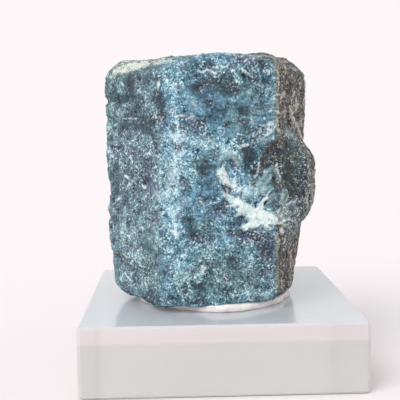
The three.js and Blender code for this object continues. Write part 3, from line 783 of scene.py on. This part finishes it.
# each kind of tone with the span that its palette covers
spans = {"even": (-0.79, 0.77), "squeezed": (-0.16, 0.68)}
for name, (low, high) in spans.items():
    total = addNode(tree, "ShaderNodeMath", {"operation": "MULTIPLY_ADD"}, {
        0: grainFigure.outputs["Value"], 1: flecksAndGlintsHere, 2: tones[name],
    })
    tones[name] = addNode(tree, "ShaderNodeMapRange", {"From Min": low, "From Max": high}, {
        "Value": total.outputs["Value"],
    }).outputs["Result"]
tone = tones["even"]
ragEdge = addNode(tree, "ShaderNodeTexNoise", {"Scale": perMm / 0.8, "Detail": 5, "Roughness": 0.7}, {
    "Vector": place,
}).outputs["Fac"]

toneStops = (0.12, 0.22, 0.32, 0.42, 0.54, 0.65, 0.76, 0.88, 0.97)
palettes = {
    "blue": ("#1a3849", "#2a5164", "#3c677b", "#507d92", "#6492a7", "#79a6bb", "#92c0d4", "#b3e3f4", "#daf9ff"),
    "left": ("#1f2f37", "#2f4550", "#405965", "#526e7b", "#668391", "#7b99a6", "#92b4c2", "#b1d6e3", "#daf5fb"),
    "mauve": ("#1e2434", "#2e384a", "#404b60", "#535f77", "#68758c", "#808ea3", "#9eacbe", "#c8d4e0", "#ecf3fa"),
    "green": ("#1d3438", "#2e4b50", "#416166", "#547579", "#688a8d", "#7ea0a2", "#97bbbc", "#b9dfdf", "#def9f7"),
    "brown": ("#1f1915", "#322a25", "#443b34", "#574d45", "#6a6057", "#7d746a", "#928a7e", "#aba598", "#d5d3cb"),
    "knob": ("#172120", "#242f2e", "#313f3d", "#40504c", "#51615d", "#677874", "#869692", "#b1bfbc", "#dfe9e7"),
}
colour = None
for name, shades in palettes.items():
    stops = [(at, srgb(code)) for at, code in zip(toneStops, shades)]
    ramp = addNode(tree, "ShaderNodeValToRGB", {"stops": stops}, {
        "Fac": tones["squeezed" if name == "brown" else "even"],
    }).outputs["Color"]
    if colour is None:
        colour = ramp
    else:
        share = addNode(tree, "ShaderNodeAttribute", {"attribute_name": name}).outputs["Fac"]
        colour = addNode(tree, "ShaderNodeMix", {"data_type": "RGBA"}, {0: share, 6: colour, 7: ramp}).outputs[2]

# broken plates grow paler towards their rims
plateDistance = addNode(tree, "ShaderNodeAttribute", {"attribute_name": "plate"}).outputs["Fac"]
towardsRim = addNode(tree, "ShaderNodeMapRange", {"From Min": -0.45, "From Max": 0.0, "To Max": 0.5}, {
    "Value": plateDistance,
}).outputs["Result"]
rim = addNode(tree, "ShaderNodeMath", {"operation": "MULTIPLY_ADD", 1: 0.45}, {0: tone, 2: towardsRim}).outputs["Value"]

# the marks, each with its raggedness and softness in mm, its strength and its shades
layers = {
    "glassy": (1.2, 0.5, 0.8, "tone", ((0.1, "#1a2f39"), (0.5, "#385562"), (0.8, "#7193a2"), (0.95, "#d5e8ee"))),
    "pale": (2.0, 0.9, 0.65, "tone", ((0.1, "#5f8090"), (0.5, "#9cbfcd"), (0.8, "#dcf2f8"))),
    "streak": (1.0, 0.4, 0.65, "tone", ((0.2, "#1c1a18"), (0.5, "#34302d"), (0.85, "#7a736d"))),
    # the pale shades of the worn edges are partly a painted highlight
    "worn": (1.4, 0.4, 0.75, "tone", ((0.1, "#54564f"), (0.45, "#8d9288"), (0.7, "#b4bbb1"), (0.9, "#dbe2da"))),
    "bark": (1.2, 0.4, 0.85, "tone", ((0.1, "#24201e"), (0.4, "#484340"), (0.7, "#77726e"), (0.95, "#b9b7b5"))),
    "plate": (2.2, 0.3, 0.7, "rim", ((0.1, "#3c5a5e"), (0.35, "#6a8b8f"), (0.6, "#94b4b8"), (0.95, "#dfeff0"))),
    "pit": (1.6, 0.5, 0.8, "grain", ((0.1, "#171a28"), (0.45, "#393e50"), (0.75, "#67708a"), (0.9, "#dde5ef"))),
    "tan": (0.7, 0.2, 0.9, "tone", ((0.2, "#a09284"), (0.5, "#c2b5a6"), (0.8, "#e4dacd"))),
    "cream": (1.8, 0.5, 0.95, "tone", ((0.05, "#738077"), (0.3, "#aebaab"), (0.55, "#dce5d5"), (0.8, "#f6fbf0"))),
    "white": (1.9, 0.25, 1.0, "tone", ((0.08, "#63878f"), (0.28, "#aaccd0"), (0.5, "#daf1ef"), (0.8, "#f5fffc"))),
    "thread": (0.6, 0.15, 1.0, "tone", ((0.05, "#8aa6ae"), (0.3, "#c3d8dc"), (0.6, "#eaf4f4"), (0.8, "#fafefd"))),
    # the near-black shades of the holes are painted shade inside them
    "hole": (0.2, 0.12, 1.0, "tone", ((0.2, "#101216"), (0.5, "#191c22"), (0.8, "#2c323a"))),
}
sources = {"tone": tone, "grain": grainTone, "rim": rim}
for kind, (rag, softness, strength, source, shades) in layers.items():
    distance = addNode(tree, "ShaderNodeAttribute", {"attribute_name": kind}).outputs["Fac"]
    torn = addNode(tree, "ShaderNodeMath", {"operation": "MULTIPLY_ADD", 1: rag}, {0: ragEdge, 2: distance}).outputs["Value"]
    mask = addNode(tree, "ShaderNodeMapRange", {
        "interpolation_type": "SMOOTHSTEP", "From Min": rag / 2 + softness, "From Max": rag / 2 - softness, "To Max": strength,
    }, {"Value": torn}).outputs["Result"]
    ramp = addNode(tree, "ShaderNodeValToRGB", {"stops": [(at, srgb(shade)) for at, shade in shades]}, {"Fac": sources[source]})
    colour = addNode(tree, "ShaderNodeMix", {"data_type": "RGBA"}, {0: mask, 6: colour, 7: ramp.outputs["Color"]}).outputs[2]

gloss = addNode(tree, "ShaderNodeMapRange", {"From Min": 0.2, "From Max": 0.9, "To Min": 0.32, "To Max": 0.7}, {
    "Value": tone,
})
bump = addNode(tree, "ShaderNodeBump", {"Strength": 0.85, "Distance": 0.2 * mm}, {"Height": tone})
surface = addNode(tree, "ShaderNodeBsdfPrincipled", {"IOR": 1.76, "Specular IOR Level": 0.25}, {
    "Base Color": colour, "Roughness": gloss.outputs["Result"], "Normal": bump.outputs["Normal"],
})
addNode(tree, "ShaderNodeOutputMaterial", None, {"Surface": surface.outputs["BSDF"]})

bmesh.ops.transform(stone, matrix=stand, verts=stone.verts)
sapphire = meshPiece("sapphireCrystal", stone, corundum)
shares = {
    "shade": shade, "flecked": flecked, "left": left, "mauve": mauve, "green": green, "brown": brown, "knob": knob,
}
for name, values in {**{kind: fields[kind] for kind in marks}, **shares}.items():
    layer = sapphire.data.attributes.new(name, "FLOAT", "POINT")
    layer.data.foreach_set("value", values.astype(np.float32))
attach(sapphire, "root")
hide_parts("sapphire_crystal")
print("crystal finished", len(sapphire.data.polygons), "faces")

# the putty under the crystal, in mm: pressed out by its weight into a low wavy cushion
putty = {
    "low": 12.7,
    "thickness": 1.35,
    "roundness": 0.5,
    "blankRadius": 16.0,
    # how far it reaches every 30 degrees from the front round by the right
    "reach": (18.1, 17.6, 16.6, 15.9, 15.2, 14.6, 15.1, 14.4, 15.0, 14.6, 15.9, 16.3),
    "waviness": 0.35,
}
bm = bmesh.new()
bmesh.ops.create_cone(
    bm, cap_ends=True, segments=240, radius1=putty["blankRadius"], radius2=putty["blankRadius"],
    depth=putty["thickness"],
)
bmesh.ops.translate(bm, verts=bm.verts, vec=(0, 0, putty["thickness"] / 2))
corners = [edge for edge in bm.edges if abs(edge.verts[0].co.z - edge.verts[1].co.z) < 1e-6]
bmesh.ops.bevel(
    bm, geom=corners, offset=putty["roundness"], offset_type="OFFSET", segments=5,
    profile=0.5, affect="EDGES", material=-1,
)
bm.normal_update()
for _ in range(8):
    top = max((face for face in bm.faces if face.normal.z > 0.9), key=lambda face: len(face.verts))
    bmesh.ops.inset_region(bm, faces=[top], thickness=0.7, use_even_offset=True)
turns = [30 * step for step in range(len(putty["reach"]) + 1)]
for vert in bm.verts:
    turn = math.degrees(math.atan2(vert.co.x, -vert.co.y)) % 360
    step = int(turn // 30)
    share = smoothstep(0, 30, turn - turns[step])
    reach = putty["reach"][step] * (1 - share) + putty["reach"][(step + 1) % 12] * share
    out2d = vert.co.xy * (reach / putty["blankRadius"])
    swell = putty["waviness"] * noise.fractal(Vector((*out2d, vert.co.z * 2)) / 2.6, 1.0, 2.0, 3)
    outside = smoothstep(putty["blankRadius"] - 4, putty["blankRadius"], vert.co.xy.length)
    raised = smoothstep(0.3, 1.3, vert.co.z)
    vert.co.xy = out2d * (1 + swell * outside / reach)
    vert.co.z += 0.6 * swell * outside * raised
bmesh.ops.recalc_face_normals(bm, faces=bm.faces)
bmesh.ops.transform(bm, matrix=(
    Matrix.Diagonal((mm, mm, mm, 1))
    @ Matrix.Translation((*crystal["axis"], putty["low"]))
    @ Matrix.Rotation(math.radians(crystal["turn"]), 4, "Z")
), verts=bm.verts)

# soft mounting putty: matt cream, a little waxy, faintly streaked by kneading
softPutty, tree = newMaterial("kneadedPutty")
place = addNode(tree, "ShaderNodeTexCoord").outputs["Object"]
knead = addNode(tree, "ShaderNodeTexNoise", {"Scale": perMm / 2.5, "Detail": 4, "Distortion": 0.8}, {"Vector": place})
creamTint = addNode(tree, "ShaderNodeValToRGB", {
    "stops": [(0.3, srgb("#e6dcd8")), (0.5, srgb("#f3ece9")), (0.7, srgb("#fbf7f5"))],
}, {"Fac": knead.outputs["Fac"]})
dents = addNode(tree, "ShaderNodeBump", {"Strength": 0.4, "Distance": 0.2 * mm}, {"Height": knead.outputs["Fac"]})
wax = addNode(tree, "ShaderNodeMapRange", {"To Min": 0.35, "To Max": 0.6}, {"Value": knead.outputs["Fac"]})
waxy = addNode(tree, "ShaderNodeBsdfPrincipled", {"IOR": 1.48, "Subsurface Weight": 0.2, "Subsurface Scale": 0.5 * mm}, {
    "Base Color": creamTint.outputs["Color"], "Roughness": wax.outputs["Result"], "Normal": dents.outputs["Normal"],
})
addNode(tree, "ShaderNodeOutputMaterial", None, {"Surface": waxy.outputs["BSDF"]})
cushion = meshPiece("mountingPutty", bm, softPutty)
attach(cushion, "root")
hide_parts("mounting_putty")
print("putty finished")

# clear cast acrylic: hardly tinted, with the faint waviness and haze of a sawn and buffed block
acrylic, tree = newMaterial("castAcrylic")
place = addNode(tree, "ShaderNodeTexCoord").outputs["Object"]
smear = addNode(tree, "ShaderNodeTexNoise", {"Scale": perMm / 6, "Detail": 3}, {"Vector": place})
buff = addNode(tree, "ShaderNodeMapRange", {"To Min": 0.08, "To Max": 0.2}, {"Value": smear.outputs["Fac"]})
ripple = addNode(tree, "ShaderNodeBump", {"Strength": 0.1, "Distance": 0.4 * mm}, {"Height": smear.outputs["Fac"]})
# painted light: a faintly pinkish painted glow in a band under the polished top, with a slightly wavy lower edge, and a
# faint painted bluish reflection on the top face
level = addNode(tree, "ShaderNodeSeparateXYZ", None, {"Vector": place}).outputs["Z"]
wavyLevel = addNode(tree, "ShaderNodeMath", {"operation": "MULTIPLY_ADD", 1: 0.8 * mm}, {
    0: smear.outputs["Fac"], 2: level,
})
bandTint = addNode(tree, "ShaderNodeMapRange", {"From Min": 0, "From Max": 13.2 * mm}, {
    "Value": wavyLevel.outputs["Value"],
})
paintedLightTint = addNode(tree, "ShaderNodeValToRGB", {
    "stops": [(0.1, srgb("#ebebe8")), (0.74, srgb("#ebe9e6")), (0.78, srgb("#fff4f5")), (0.965, srgb("#fff5f6")),
              (0.985, srgb("#f4f8ff"))],
}, {"Fac": bandTint.outputs["Result"]})
clear = addNode(tree, "ShaderNodeBsdfPrincipled", {
    "Transmission Weight": 0.42, "IOR": 1.49, "Specular IOR Level": 0.3,
    "Coat Weight": 0.4, "Coat Roughness": 0.24, "Coat IOR": 1.49,
}, {
    "Base Color": paintedLightTint.outputs["Color"], "Roughness": buff.outputs["Result"], "Normal": ripple.outputs["Normal"],
})
addNode(tree, "ShaderNodeOutputMaterial", None, {"Surface": clear.outputs["BSDF"]})
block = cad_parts["display_block"]
for slot in block.material_slots:
    slot.material = acrylic
